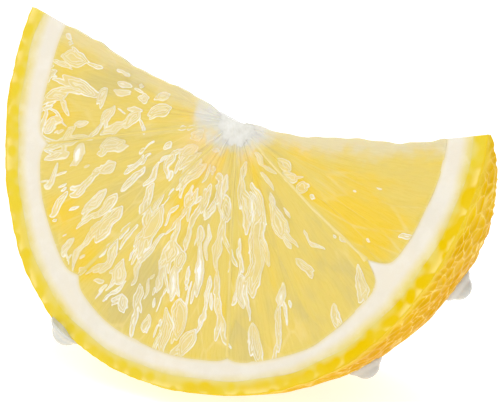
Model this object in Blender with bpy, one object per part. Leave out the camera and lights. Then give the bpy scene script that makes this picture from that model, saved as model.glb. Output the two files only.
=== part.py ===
"""Yuzu wedge: an eighth of the fruit, cut across the core, resting on its peel.

Metres, +Z up. The wedge stands on a small flat spot of its peel, with its cut edge on top.
Its front cut face goes through the core and leans back; the second cut meets it at the top edge.
The origin is the middle of the footprint, on the surface that the wedge stands on.
"""

import math

import bmesh
import bpy
from mathutils import Vector

# Driving dimensions
FRUIT_RADIUS = 0.0310
WEDGE_ANGLE = math.radians(44.0)
LEFT_TIP_TURN = math.radians(105.0)
RIGHT_TIP_TURN = math.radians(98.0)
TOP_EDGE_WIDTH = 0.0008
RIGHT_EDGE_SAG = 0.0014
FLAT_SPOT_DEPTH = 0.0004

# Lobes of the rim: how many round the fruit, their share of the radius, and their phase
RIM_LOBES = (
    (2, 0.0108, math.radians(-78.0)),
    (3, 0.0127, math.radians(-101.0)),
    (5, 0.0099, math.radians(178.0)),
)

# Juice drops that cling to the peel: name, turn from straight down, turn back from the cut face,
# half width along the peel, height off it
DROPS = (
    ("juice_drop_left", math.radians(-32.3), math.radians(2.4), 0.00185, 0.00180),
    ("juice_drop_middle", math.radians(36.5), math.radians(16.5), 0.00165, 0.00135),
    ("juice_drop_right", math.radians(62.5), math.radians(24.3), 0.00165, 0.00150),
)
PEEL_GAP = 0.0003

# Mesh fineness
RIM_STEPS = 72
PEEL_STEPS = 12
CUT_STEPS = 6
DROP_SEGMENTS = 20
DROP_RINGS = 12
SHARP_ANGLE = math.radians(35.0)

# The cut face leans back by half the wedge angle, so that the wedge stands level
LEAN = WEDGE_ANGLE / 2.0
ACROSS = Vector((1.0, 0.0, 0.0))
UP_THE_FACE = Vector((0.0, math.sin(LEAN), math.cos(LEAN)))
INTO_THE_FRUIT = Vector((0.0, math.cos(LEAN), -math.sin(LEAN)))


def clear_scene():
    for obj in list(bpy.data.objects):
        bpy.data.objects.remove(obj, do_unlink=True)


def make_material(name, colour, roughness, metallic=0.0, transmission=0.0):
    material = bpy.data.materials.new(name)
    material.use_nodes = True
    shader = material.node_tree.nodes["Principled BSDF"]
    shader.inputs["Base Color"].default_value = (*colour, 1.0)
    shader.inputs["Roughness"].default_value = roughness
    shader.inputs["Metallic"].default_value = metallic
    shader.inputs["Transmission Weight"].default_value = transmission
    return material


def rim_radius(turn):
    """The fruit's radius at a turn about the core, counted from straight down."""
    share = sum(size * math.cos(count * turn - phase) for count, size, phase in RIM_LOBES)
    return FRUIT_RADIUS * (1.0 + share)


def tip_share(turn):
    """0 straight down, 1 at the tip of the wedge on that side."""
    return turn / RIGHT_TIP_TURN if turn > 0.0 else -turn / LEFT_TIP_TURN


def back_cut_slope(turn):
    """How steeply the second cut falls away from the cut face, going out from the core."""
    return math.tan(WEDGE_ANGLE) * math.cos(tip_share(turn) * math.pi / 2.0)


def back_cut_turn(turn):
    """How far the second cut lies back from the cut face at the peel, as an angle at the core."""
    lean = math.atan(back_cut_slope(turn))
    return lean + math.asin(TOP_EDGE_WIDTH * math.cos(lean) / rim_radius(turn))


def fruit_point(radius, turn, back):
    """A point at a radius from the core, a turn from straight down and a turn back from the face."""
    out = radius * math.cos(back)
    flat = ACROSS * (out * math.sin(turn)) - UP_THE_FACE * (out * math.cos(turn))
    return flat + INTO_THE_FRUIT * (radius * math.sin(back))


def cut_point(turn, share, reach, depth):
    """A point on a cut, at a share of its reach from the core and a depth behind the cut face.

    The right half of the top edge sags, so the turns close up a little towards it.
    """
    sag = RIGHT_EDGE_SAG * math.sin(math.pi * share) * max(turn / RIGHT_TIP_TURN, 0.0)
    out = reach * share
    turned = turn - sag / out
    flat = ACROSS * (out * math.sin(turned)) - UP_THE_FACE * (out * math.cos(turned))
    return flat + INTO_THE_FRUIT * depth


def front_cut_point(turn, share):
    return cut_point(turn, share, rim_radius(turn), 0.0)


def back_cut_point(turn, share):
    reach = rim_radius(turn) * math.cos(back_cut_turn(turn))
    return cut_point(turn, share, reach, reach * share * back_cut_slope(turn) + TOP_EDGE_WIDTH)


def turn_of(point):
    """The turn about the core of a point given from the core."""
    return math.atan2(point.dot(ACROSS), -point.dot(UP_THE_FACE))


def add_object(name, mesh_source, material):
    mesh = bpy.data.meshes.new(name)
    mesh_source.to_mesh(mesh)
    mesh_source.free()
    mesh.materials.append(material)
    mesh.shade_smooth()
    mesh.set_sharp_from_angle(angle=SHARP_ANGLE)
    obj = bpy.data.objects.new(name, mesh)
    bpy.context.scene.collection.objects.link(obj)
    return obj


def rim_turns():
    span = LEFT_TIP_TURN + RIGHT_TIP_TURN
    return [-LEFT_TIP_TURN + span * step / RIM_STEPS for step in range(RIM_STEPS + 1)]


def cut_shares():
    return [row / CUT_STEPS for row in range(1, CUT_STEPS)]


def peel_column(mesh, turn):
    """Vertices across the peel at one turn, from the cut face to the second cut."""
    last = back_cut_turn(turn)
    backs = [last * row / PEEL_STEPS for row in range(PEEL_STEPS + 1)]
    return [mesh.verts.new(fruit_point(rim_radius(turn), turn, back)) for back in backs]


def add_strip(mesh, left, right):
    """Quads between two rows of vertices of one length."""
    for row in range(len(left) - 1):
        mesh.faces.new((left[row], right[row], right[row + 1], left[row + 1]))


def rest_on_flat_spot(mesh):
    """Cuts the flat spot that the wedge rests on, and closes it."""
    lowest = min(vertex.co.z for vertex in mesh.verts)
    cut = bmesh.ops.bisect_plane(
        mesh,
        geom=list(mesh.verts) + list(mesh.edges) + list(mesh.faces),
        plane_co=(0.0, 0.0, lowest + FLAT_SPOT_DEPTH),
        plane_no=(0.0, 0.0, -1.0),
        clear_outer=True,
    )
    rim = [item for item in cut["geom_cut"] if isinstance(item, bmesh.types.BMEdge)]
    bmesh.ops.contextual_create(mesh, geom=rim)


def build_wedge():
    mesh = bmesh.new()
    turns = rim_turns()
    peel = [peel_column(mesh, turn) for turn in turns]
    core_front = mesh.verts.new((0.0, 0.0, 0.0))
    core_back = mesh.verts.new(INTO_THE_FRUIT * TOP_EDGE_WIDTH)
    spokes = []
    for turn, column in zip(turns, peel):
        inner = [mesh.verts.new(back_cut_point(turn, share)) for share in cut_shares()]
        spokes.append(inner + [column[-1]])
    for left, right in zip(peel, peel[1:]):
        add_strip(mesh, left, right)
    for left, right in zip(spokes, spokes[1:]):
        mesh.faces.new((core_back, left[0], right[0]))
        add_strip(mesh, left, right)
    edges = []
    for end in (0, -1):
        edge = [mesh.verts.new(front_cut_point(turns[end], share)) for share in cut_shares()]
        front = [core_front] + edge
        back = [core_back] + spokes[end][:-1]
        add_strip(mesh, front, back)
        mesh.faces.new([back[-1], front[-1]] + peel[end])
        edges.append(edge)
    rim = [column[0] for column in peel]
    mesh.faces.new([core_front] + edges[0] + rim + edges[1][::-1])
    rest_on_flat_spot(mesh)
    bmesh.ops.recalc_face_normals(mesh, faces=mesh.faces)
    zest = make_material("zest", (0.86, 0.62, 0.04), 0.38)
    return add_object("yuzu_wedge", mesh, zest)


def build_drop(name, turn, back, half_width, height, material):
    """A drop that clings to the peel: half an egg, its flat side a small gap off the skin."""
    out = fruit_point(1.0, turn, back)
    along = ACROSS * math.cos(turn) + UP_THE_FACE * math.sin(turn)
    sideways = out.cross(along)
    base = out * (rim_radius(turn) + PEEL_GAP)
    mesh = bmesh.new()
    bmesh.ops.create_uvsphere(mesh, u_segments=DROP_SEGMENTS, v_segments=DROP_RINGS, radius=1.0)
    for vertex in mesh.verts:
        flat = along * vertex.co.x + sideways * vertex.co.y
        point = base + flat * half_width + out * (vertex.co.z * height)
        nearest = rim_radius(turn_of(point)) + PEEL_GAP
        if point.length < nearest:
            point = point.normalized() * nearest
        vertex.co = point
    return add_object(name, mesh, material)


def stand_on_origin(objects):
    """Moves the meshes so that the origin is the middle of the footprint, on the floor."""
    points = [vertex.co for obj in objects for vertex in obj.data.vertices]
    low = Vector([min(point[axis] for point in points) for axis in range(3)])
    high = Vector([max(point[axis] for point in points) for axis in range(3)])
    shift = Vector((-(low.x + high.x) / 2.0, -(low.y + high.y) / 2.0, -low.z))
    for obj in objects:
        for vertex in obj.data.vertices:
            vertex.co += shift


def main():
    clear_scene()
    objects = [build_wedge()]
    juice = make_material("juice", (0.90, 0.90, 0.84), 0.05, transmission=0.9)
    for drop in DROPS:
        objects.append(build_drop(*drop, juice))
    stand_on_origin(objects)


main()
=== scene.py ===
import itertools
import math

import bmesh
import bpy
import numpy as np
from bpy.props import FloatProperty, FloatVectorProperty, IntProperty, PointerProperty
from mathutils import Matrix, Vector


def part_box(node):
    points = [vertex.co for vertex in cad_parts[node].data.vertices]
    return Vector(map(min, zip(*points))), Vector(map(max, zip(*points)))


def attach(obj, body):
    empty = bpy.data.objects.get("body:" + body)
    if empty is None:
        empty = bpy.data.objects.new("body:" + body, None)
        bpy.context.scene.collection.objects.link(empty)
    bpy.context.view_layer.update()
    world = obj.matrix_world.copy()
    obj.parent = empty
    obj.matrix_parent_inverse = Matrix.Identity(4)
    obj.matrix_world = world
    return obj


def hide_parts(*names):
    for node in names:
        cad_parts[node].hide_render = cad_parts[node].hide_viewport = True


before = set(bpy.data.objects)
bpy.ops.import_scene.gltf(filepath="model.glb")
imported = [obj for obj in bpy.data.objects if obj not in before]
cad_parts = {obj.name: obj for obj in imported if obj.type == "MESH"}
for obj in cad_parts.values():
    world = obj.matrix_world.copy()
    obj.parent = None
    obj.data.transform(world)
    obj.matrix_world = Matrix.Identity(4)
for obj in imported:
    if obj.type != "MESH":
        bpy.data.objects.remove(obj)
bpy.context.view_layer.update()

bl_info = {
    "name": "Yuzu Wedge",
    "version": (1, 0, 0),
    "blender": (4, 5, 0),
    "location": "3D View > Sidebar > Yuzu",
    "description": "Builds a cut wedge of yuzu with its peel, pith, juice sacs and drops",
    "category": "Add Mesh",
}

MM = 0.001

# The wedge's own shape, in metres and radians. A turn is counted about the core from straight
# down, and a back angle from the front cut into the fruit.
FRUIT_RADIUS = 0.0310
WEDGE_ANGLE = math.radians(44.0)
LEFT_TIP_TURN = math.radians(105.0)
RIGHT_TIP_TURN = math.radians(98.0)
TOP_EDGE_WIDTH = 0.0008
RIGHT_EDGE_SAG = 0.0014
RIM_LOBES = (
    (2, 0.0108, math.radians(-78.0)),
    (3, 0.0127, math.radians(-101.0)),
    (5, 0.0099, math.radians(178.0)),
)
# Drops on the peel: turn, turn back from the cut, half width along the peel, height off it
DROPS = {
    "juice_drop_left": (math.radians(-32.3), math.radians(2.4), 0.00185, 0.00180),
    "juice_drop_middle": (math.radians(36.5), math.radians(16.5), 0.00165, 0.00135),
    "juice_drop_right": (math.radians(62.5), math.radians(24.3), 0.00165, 0.00150),
}
# The walls between the segments, as turns
WALL_TURNS = tuple(math.radians(turn) for turn in (-74.0, -38.4, 10.8, 60.7))
# How clearly each wall stands out from the flesh
WALL_SHOWS = (0.15, 0.35, 0.35, 1.0)
# How far the pith reaches in along each wall
WALL_TONGUES = (0.0010, 0.0008, 0.0004, 0.0026)
# How far a drop sinks into the skin's dimples, its sole bulges below that, and how far its edge
# may reach under the skin
DROP_SINK = 0.25 * MM
DROP_SOLE = 0.30 * MM
DROP_DEPTH = 0.55 * MM
# How near to the core the flesh and the walls start
FLESH_START = 1.1 * MM
WALL_START = 1.2 * MM
# Radii are kept above this where something is divided by them
SHORTEST = 1e-6
# Noise is drawn over the cuts as if turns lay flat at this radius, and depths went this far
LAYOUT_RADIUS = 14.0 * MM
LAYOUT_DEPTH = 5.0 * MM

# The floor's size in metres, and how much it glows, so that it looks as white as the room
FLOOR_SIZE = 8.0
FLOOR_GLOW = 0.66
# The soft lights face this place. Each has its degrees round to the right, degrees up, distance
# and size in metres.
LIT_PLACE = Vector((0.0, 0.0, 0.02))
LIGHTS = {
    "key": (-32.0, 26.0, 0.60, 0.45),
    "top": (0.0, 88.0, 0.60, 0.60),
    "back": (170.0, 45.0, 0.60, 0.50),
}
# How far the camera moves to its right and up, without turning, to frame the wedge
CAMERA_SHIFT = (1.44 * MM, -8.77 * MM, 0.0)

LEAN = WEDGE_ANGLE / 2.0
ACROSS = np.array((1.0, 0.0, 0.0))
UP_THE_FACE = np.array((0.0, math.sin(LEAN), math.cos(LEAN)))
INTO_THE_FRUIT = np.array((0.0, math.cos(LEAN), -math.sin(LEAN)))


# ---- The fruit's own measures ----


def rim_radius(turn):
    """The fruit's radius at a turn about the core."""
    share = sum(size * np.cos(count * turn - phase) for count, size, phase in RIM_LOBES)
    return FRUIT_RADIUS * (1.0 + share)


def tip_share(turn):
    """0 straight down, 1 at the tip of the wedge on that side."""
    return np.where(turn > 0.0, turn / RIGHT_TIP_TURN, -turn / LEFT_TIP_TURN)


def back_cut_slope(turn):
    """How steeply the second cut falls away from the front cut, going out from the core."""
    return math.tan(WEDGE_ANGLE) * np.cos(np.minimum(tip_share(turn), 1.0) * math.pi / 2.0)


def back_cut_turn(turn, radius):
    """How far the second cut lies back from the front cut, at a radius from the core."""
    lean = np.arctan(back_cut_slope(turn))
    edge = TOP_EDGE_WIDTH * np.cos(lean) / np.maximum(radius, SHORTEST)
    return lean + np.arcsin(np.minimum(edge, 0.95))


def edge_sag(turn, radius):
    """How far the right half of the top edge sags, as a turn."""
    reach = rim_radius(turn)
    sag = RIGHT_EDGE_SAG * np.maximum(turn / RIGHT_TIP_TURN, 0.0)
    return sag * math.pi * np.sinc(radius / reach) / reach


def radial(turn):
    """The direction out from the core in the cut face."""
    return np.multiply.outer(np.sin(turn), ACROSS) - np.multiply.outer(np.cos(turn), UP_THE_FACE)


def inward(length):
    """A step of a length straight into the fruit from the front cut."""
    return np.multiply.outer(length, INTO_THE_FRUIT)


def back_cut_normal(turn):
    """The direction out of the second cut."""
    slope = back_cut_slope(turn)
    normal = inward(np.ones_like(slope)) - radial(turn) * slope[:, None]
    return normal / np.linalg.norm(normal, axis=1)[:, None]


def across(turn):
    """The direction square to radial in the cut face, towards a greater turn."""
    return np.multiply.outer(np.cos(turn), ACROSS) + np.multiply.outer(np.sin(turn), UP_THE_FACE)


def own_point(turn, radius, depth_share):
    """A point of the fruit from its core, at a share of the way from the front cut to the back."""
    back = depth_share * back_cut_turn(turn, radius)
    turned = turn - edge_sag(turn, radius)
    return radial(turned) * (radius * np.cos(back))[..., None] + inward(radius * np.sin(back))


def find_core():
    """Where the core meets the front cut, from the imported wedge's box."""
    low, high = (np.array(corner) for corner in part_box("yuzu_wedge"))
    turns = np.linspace(-LEFT_TIP_TURN, RIGHT_TIP_TURN, 73)
    shares = np.linspace(0.0, 1.0, 13)
    turn, share = (grid.ravel() for grid in np.meshgrid(turns, shares))
    points = own_point(turn, rim_radius(turn), share)
    core = (low + high - points.min(axis=0) - points.max(axis=0)) / 2.0
    core[2] = high[2] - points[:, 2].max()
    return core


CORE = find_core()


def fruit_point(turn, radius, depth_share):
    return CORE + own_point(turn, radius, depth_share)


# ---- Repeatable noise ----


# Each noise adds its own number to the user's seed, so that no two of them run alike.


def random_at(corner, seed):
    """A repeatable number from 0 to 1 for each whole-numbered corner."""
    mixed = corner[..., 0] * 73856093 ^ corner[..., 1] * 19349663 ^ corner[..., 2] * 83492791
    mixed = (mixed ^ seed * 40503) & 0xFFFFFFFF
    mixed = (mixed ^ mixed >> 16) * 73244475 & 0xFFFFFFFF
    mixed = (mixed ^ mixed >> 15) * 73244475 & 0xFFFFFFFF
    return ((mixed ^ mixed >> 16) & 0xFFFFFF) / 0xFFFFFF


def noise_at(points, size, seed):
    """Smooth noise from 0 to 1 at each point, in blobs of a size."""
    scaled = points / size
    corner = np.floor(scaled).astype(np.int64)
    ease = scaled - corner
    ease = ease * ease * (3.0 - 2.0 * ease)
    total = np.zeros(len(points))
    for offset in itertools.product((0, 1), repeat=3):
        weight = np.where(offset, ease, 1.0 - ease).prod(axis=1)
        total += weight * random_at(corner + np.array(offset), seed)
    return total


def layered_noise(points, size, seed, layers=3):
    """Noise with finer noise on it, from about 0 to 1."""
    total = np.zeros(len(points))
    weights = 0.0
    for layer in range(layers):
        weight = 0.5**layer
        total += weight * noise_at(points, size * weight, seed + layer)
        weights += weight
    return total / weights


def cells_at(points, size, seed):
    """The distances to the nearest two of scattered centres, and the nearest one's own number."""
    scaled = points / size
    corner = np.floor(scaled).astype(np.int64)
    first = np.full(len(points), 9.0)
    second = first.copy()
    own = np.zeros(len(points))
    for offset in itertools.product((-1, 0, 1), repeat=3):
        cell = corner + np.array(offset)
        centre = cell + np.stack([random_at(cell, seed + axis) for axis in range(3)], axis=1)
        distance = np.linalg.norm(scaled - centre, axis=1)
        nearer = distance < first
        second = np.where(nearer, first, np.minimum(second, distance))
        own = np.where(nearer, random_at(cell, seed + 3), own)
        first = np.where(nearer, distance, first)
    return first * size, second * size, own


def as_rows(*columns):
    """Numbers and columns of numbers, as the rows of one table."""
    return np.stack(np.broadcast_arrays(*columns), axis=1)


def smooth_step(value, start, end):
    """Eases from 0 to 1 while the value goes from start to end."""
    share = np.clip((value - start) / (end - start), 0.0, 1.0)
    return share * share * (3.0 - 2.0 * share)


def near_cuts(depth_share, reach):
    """How near each point is to the front cut and to the back one: 1 on it, 0 past a reach."""
    return smooth_step(depth_share, reach, 0.0), smooth_step(depth_share, 1.0 - reach, 1.0)


# ---- Modelling ----


# Coordinates of a unit slab that are closer than this are the same
SAME_PLACE = 1e-4
# Vertices closer than this, in metres, are joined
WELD = 1e-6


def deselect_all():
    if bpy.context.mode != "OBJECT":
        bpy.ops.object.mode_set(mode="OBJECT")
    bpy.ops.object.select_all(action="DESELECT")


def add_slab(name, columns, rows, layers, outer_layers=0):
    """A unit slab: a grid, given its depth and cut into layers.

    Across it runs the turn, along it the radius, and through it the depth, each from 0 to 1.
    With outer layers, only the outer wall and the two end walls are cut, and that many times.
    """
    deselect_all()
    bpy.ops.mesh.primitive_grid_add(
        x_subdivisions=columns, y_subdivisions=rows, size=1.0, location=(0.5, 0.5, 0.0)
    )
    piece = bpy.context.object
    piece.name = name
    piece.data.name = name
    bpy.ops.object.transform_apply(location=True, rotation=True, scale=True)
    bpy.ops.object.mode_set(mode="EDIT")
    bpy.ops.mesh.select_all(action="SELECT")
    bpy.ops.mesh.extrude_region_move(TRANSFORM_OT_translate={"value": (0.0, 0.0, 1.0)})
    bpy.ops.mesh.select_mode(type="EDGE")
    bpy.ops.mesh.select_all(action="DESELECT")
    mesh = bmesh.from_edit_mesh(piece.data)
    for edge in mesh.edges:
        start, end = (vertex.co for vertex in edge.verts)
        through = abs(start.z - end.z) > 0.5
        on_wall = min(start.x, 1.0 - start.x, 1.0 - start.y) < SAME_PLACE
        edge.select = through and (on_wall or not outer_layers)
    bmesh.update_edit_mesh(piece.data)
    bpy.ops.mesh.subdivide(number_cuts=max(outer_layers, layers) - 1)
    bpy.ops.mesh.select_all(action="SELECT")
    bpy.ops.mesh.normals_make_consistent(inside=False)
    bpy.ops.object.mode_set(mode="OBJECT")
    return piece


def vertex_places(piece):
    """A piece's vertices as rows of three numbers."""
    places = np.empty(len(piece.data.vertices) * 3, np.float32)
    piece.data.vertices.foreach_get("co", places)
    return places.reshape(-1, 3).astype(np.float64)


def move_vertices(piece, places):
    """Puts every vertex in its place, none of them below the floor."""
    places = places.copy()
    places[:, 2] = np.maximum(places[:, 2], 0.0)
    piece.data.vertices.foreach_set("co", places.astype(np.float32).ravel())
    piece.data.update()


def keep_values(piece, **values):
    """Stores named numbers, one of each a vertex, for the material to read."""
    for name, numbers in values.items():
        layer = piece.data.attributes.new(name, "FLOAT", "POINT")
        layer.data.foreach_set("value", numbers.astype(np.float32))


def keep_flow(piece, turn, radius, depth):
    """Stores coordinates that run with the juice sacs: across them, along them and through."""
    layer = piece.data.attributes.new("flow", "FLOAT_VECTOR", "POINT")
    flow = as_rows(turn, radius / MM, depth)
    layer.data.foreach_set("vector", flow.astype(np.float32).ravel())


def finish_piece(piece, material, replaced, sharp=math.radians(60.0)):
    """Closes and shades a piece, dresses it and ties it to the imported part."""
    deselect_all()
    piece.select_set(True)
    bpy.context.view_layer.objects.active = piece
    bpy.ops.object.mode_set(mode="EDIT")
    bpy.ops.mesh.select_all(action="SELECT")
    bpy.ops.mesh.remove_doubles(threshold=WELD)
    bpy.ops.mesh.normals_make_consistent(inside=False)
    bpy.ops.object.mode_set(mode="OBJECT")
    bpy.ops.object.shade_smooth_by_angle(angle=sharp, keep_sharp_edges=False)
    piece.data.materials.clear()
    piece.data.materials.append(material)
    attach(piece, "root")
    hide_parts(replaced)


# ---- Materials ----


def linear(colour):
    """A colour as seen on a screen, turned into the light it stands for."""
    return tuple(
        channel / 12.92 if channel <= 0.04045 else ((channel + 0.055) / 1.055) ** 2.4
        for channel in colour
    )


class MaterialMaker:
    """Builds one material, a node at a time."""

    def __init__(self, name):
        self.material = bpy.data.materials.new(name)
        self.material.use_nodes = True
        self.tree = self.material.node_tree
        self.shader = self.tree.nodes["Principled BSDF"]

    def link(self, value, socket):
        """Feeds a socket with another node's output, a colour or a number."""
        if isinstance(value, bpy.types.NodeSocket):
            self.tree.links.new(value, socket)
        elif socket.type == "RGBA":
            socket.default_value = (*value, 1.0)
        else:
            socket.default_value = value

    def fill(self, node, **values):
        """Sets a node's sockets, whose names have spaces for underscores."""
        for name, value in values.items():
            self.link(value, node.inputs[name.replace("_", " ")])

    def settings(self, **values):
        """Sets the shader's own sockets."""
        self.fill(self.shader, **values)

    def node(self, kind, **values):
        """Adds a node of a kind and sets its sockets."""
        node = self.tree.nodes.new("ShaderNode" + kind)
        self.fill(node, **values)
        return node

    def value(self, name):
        """A number that was stored on the mesh."""
        node = self.node("Attribute")
        node.attribute_name = name
        return node.outputs["Fac"]

    def flow(self, stretch):
        """The coordinates that run with the juice sacs, stretched by three numbers."""
        node = self.node("Attribute")
        node.attribute_name = "flow"
        return self.node("Mapping", Vector=node.outputs["Vector"], Scale=stretch).outputs["Vector"]

    def place(self):
        return self.node("TexCoord").outputs["Object"]

    def noise(self, vector, scale, detail=3.0, roughness=0.55, distortion=0.0):
        node = self.node("TexNoise", Vector=vector, Scale=scale, Detail=detail)
        self.fill(node, Roughness=roughness, Distortion=distortion)
        return node.outputs["Fac"]

    def cells(self, vector, scale, feature="F1", randomness=1.0):
        """How far each place is from the nearest of scattered centres."""
        node = self.node("TexVoronoi", Vector=vector, Scale=scale)
        node.feature = feature
        self.fill(node, Randomness=randomness)
        return node.outputs["Distance"]

    def range(self, value, start, end, low=0.0, high=1.0):
        """Eases a number from low to high while the value goes from start to end."""
        node = self.node("MapRange", Value=value, From_Min=start, From_Max=end)
        node.interpolation_type = "SMOOTHSTEP"
        self.fill(node, To_Min=low, To_Max=high)
        return node.outputs["Result"]

    def math(self, operation, first, second=0.0):
        node = self.node("Math")
        node.operation = operation
        self.link(first, node.inputs[0])
        self.link(second, node.inputs[1])
        return node.outputs["Value"]

    def plus(self, first, second):
        return self.math("ADD", first, second)

    def times(self, first, second):
        return self.math("MULTIPLY", first, second)

    def larger(self, first, second):
        return self.math("MAXIMUM", first, second)

    def sway(self, value, reach):
        """Moves a number from 0 to 1 so that it sways about 0, as far as its reach."""
        return self.times(self.math("SUBTRACT", value, 0.5), reach)

    def mix(self, share, first, second):
        """The first colour at a share of 0, the second at 1."""
        node = self.node("Mix")
        node.data_type = "RGBA"
        node.clamp_factor = True
        self.link(share, node.inputs[0])
        self.link(first, node.inputs[6])
        self.link(second, node.inputs[7])
        return node.outputs[2]

    def line(self, value, middle, half_width):
        """1 where a value is at the middle, easing to 0 a half width away."""
        away = self.math("ABSOLUTE", self.math("SUBTRACT", value, middle))
        return self.range(away, half_width, 0.0)

    def bump(self, height, strength, distance, normal=None):
        node = self.node("Bump", Height=height, Strength=strength, Distance=distance)
        if normal is not None:
            self.link(normal, node.inputs["Normal"])
        return node.outputs["Normal"]


# ---- Sizes and colours that a user would change ----


def length_property(name, description, millimetres):
    return FloatProperty(
        name=name,
        description=description,
        default=millimetres * MM,
        min=0.0,
        precision=5,
        subtype="DISTANCE",
        unit="LENGTH",
    )


def power_property(name, description, power):
    return FloatProperty(name=name, description=description, default=power, min=0.0)


def angle_property(name, description, degrees):
    return FloatProperty(
        name=name,
        description=description,
        default=math.radians(degrees),
        subtype="ANGLE",
        unit="ROTATION",
    )


def colour_property(name, description, red, green, blue):
    return FloatVectorProperty(
        name=name,
        description=description,
        default=linear((red / 255.0, green / 255.0, blue / 255.0)),
        size=3,
        min=0.0,
        max=1.0,
        subtype="COLOR",
    )


class YuzuSizes(bpy.types.PropertyGroup):
    """The sizes of the wedge's fine detail."""

    rind_depth: length_property("Rind depth", "From the peel's surface to the flesh", 4.75)
    zest_depth: length_property("Zest depth", "From the peel's surface to the pith", 1.75)
    gland_size: length_property("Oil gland size", "Across one dimple of the peel", 1.5)
    gland_relief: length_property("Oil gland relief", "How deep a dimple is", 0.22)
    sac_width: length_property("Juice sac width", "Across one sac, half way out", 1.5)
    sac_length: length_property("Juice sac length", "Along one sac", 8.0)
    sac_relief: length_property("Juice sac relief", "How far a sac bulges", 0.10)
    # The sheen films are raised this much; their colour is painted highlight.
    sheen_film_relief: length_property("Juice film relief", "How far the films of juice stand up", 0.11)
    wall_width: length_property("Wall width", "Across the wall between two segments", 0.30)
    core_radius: length_property("Core radius", "From the middle to the edge of the core", 2.6)
    seed: IntProperty(name="Seed", description="Picks another layout of sacs", default=7, min=0)


class YuzuColours(bpy.types.PropertyGroup):
    """The colours of the wedge."""

    peel: colour_property("Peel", "The peel's surface", 234, 196, 0)
    peel_deep: colour_property("Deep peel", "The peel in its dimples", 218, 161, 0)
    # Pale splits in the cut zest, also painted as highlight on the ridges of the peel
    split_and_ridge_sheen: colour_property("Peel ridges", "The skin between the dimples", 250, 230, 140)
    zest: colour_property("Zest", "The cut edge of the peel", 233, 207, 58)
    glow: colour_property("Zest glow", "The pith just under the zest", 234, 214, 118)
    pith: colour_property("Pith", "The white under the peel", 238, 229, 210)
    flesh: colour_property("Flesh", "The juice sacs", 229, 204, 98)
    flesh_warm: colour_property("Warm flesh", "The sacs where they are deepest", 238, 202, 40)
    flesh_dim: colour_property("Dim flesh", "The sacs where they are clearest", 214, 194, 112)
    peach: colour_property("Peach flesh", "The flesh right round the core", 244, 214, 150)
    # Painted highlight: the pale cream veil over the sheen films, also used for faint pale streaks
    film: colour_property("Juice film", "Opened sacs on the cut", 234, 221, 182)
    # Painted highlight: the white outlines and glints of the sheen films
    painted_film_highlight: colour_property("Film edge", "The torn skin round an opened sac", 255, 253, 246)
    wall: colour_property("Walls", "The walls between the segments", 242, 220, 146)
    # The core's colour, also painted as the glow along the thin top edge
    core: colour_property("Core", "The white middle of the fruit", 222, 220, 210)
    floor: colour_property("Floor", "What the wedge stands on", 215, 215, 215)


class YuzuStage(bpy.types.PropertyGroup):
    """The camera and the light."""

    turn: angle_property("Camera turn", "How far round to the right the camera stands", 32.5)
    height: angle_property("Camera height", "How far the camera looks down", 20.5)
    distance: length_property("Camera distance", "From the core to the camera", 558.0)
    lens: FloatProperty(
        name="Lens",
        description="The camera's focal length in millimetres",
        default=361.9,
        min=1.0,
        unit="CAMERA",
    )
    sky: power_property("Sky", "How bright the white room is", 0.60)
    key: power_property("Key light", "Power of the large front light", 0.60)
    top: power_property("Top light", "Power of the light overhead", 1.45)
    back: power_property("Back light", "Power of the light behind", 0.75)


# ---- Peel and pith ----


def turn_at(share):
    """The turn at a share of the way from the left tip to the right tip."""
    return -LEFT_TIP_TURN + (LEFT_TIP_TURN + RIGHT_TIP_TURN) * share


# How much deeper or thinner the rind is than its usual depth: turn in degrees, millimetres
RIND_CHANGES = (
    (-105, 0.5),
    (-95, 0.4),
    (-85, 0.1),
    (-60, 0.0),
    (-40, 0.2),
    (-20, -0.4),
    (0, -0.85),
    (20, -1.0),
    (35, -0.85),
    (50, -0.2),
    (65, 0.3),
    (98, 0.4),
)
# How the rind's depth ripples: waves a radian, phase, millimetres
RIND_RIPPLES = ((7.0, 0.6, 0.06), (19.0, 0.0, 0.05))


def rind_depth(turn):
    """How deep the rind is at a turn."""
    turns, changes = zip(*RIND_CHANGES)
    change = np.interp(np.degrees(turn), turns, changes)
    for waves, phase, size in RIND_RIPPLES:
        change = change + np.sin(turn * waves + phase) * size
    return bpy.context.scene.yuzu_sizes.rind_depth + change * MM


def zest_reach(turn):
    """How deep the peel piece goes: to the middle of the fading glands."""
    sizes = bpy.context.scene.yuzu_sizes
    return sizes.zest_depth + 0.10 * MM * np.sin(turn * 23.0)


def zest_share(turn):
    """How much sooner the zest gives way to the pith, low on the wedge."""
    return 1.0 + 0.25 * np.exp(-(((turn + math.radians(2.0)) / math.radians(32.0)) ** 2))


def cut_grain(places, depth_share, seed):
    """The fine unevenness of the cut rind, as a height above the two cuts."""
    soft = (layered_noise(places, 1.6 * MM, seed + 30) - 0.5) * 0.10 * MM
    rough = (layered_noise(places, 0.45 * MM, seed + 24) - 0.5) * 0.04 * MM
    front = smooth_step(depth_share, 0.02, 0.0)
    return (soft + rough) * front


def peel_height(points, size, seed):
    """The dimples of the peel: their relief, the gap to the next one, and each one's number."""
    warp = np.stack([noise_at(points, 3.0 * MM, seed + axis) for axis in (11, 12, 13)], axis=1)
    warped = points + (warp - 0.5) * 1.2 * MM
    first, second, own = cells_at(warped, size, seed)
    gap = second - first
    ridge = 1.0 - smooth_step(gap, 0.0, size * 0.42)
    pit = smooth_step(first, size * 0.50, 0.0) * (0.5 + 0.5 * own)
    return ridge * 0.75 - pit * 0.35, gap, own


def ripeness(turn, depth_share, swell):
    """How orange the peel is: lemon yellow at the tips, deeper low on the right and at the back."""
    low_right = spot(turn, 0.0, 55.0, 0.0, 32.0, 1.0)
    return 0.12 + 0.65 * low_right + 0.25 * smooth_step(depth_share, 0.1, 0.8) + 0.8 * swell


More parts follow.
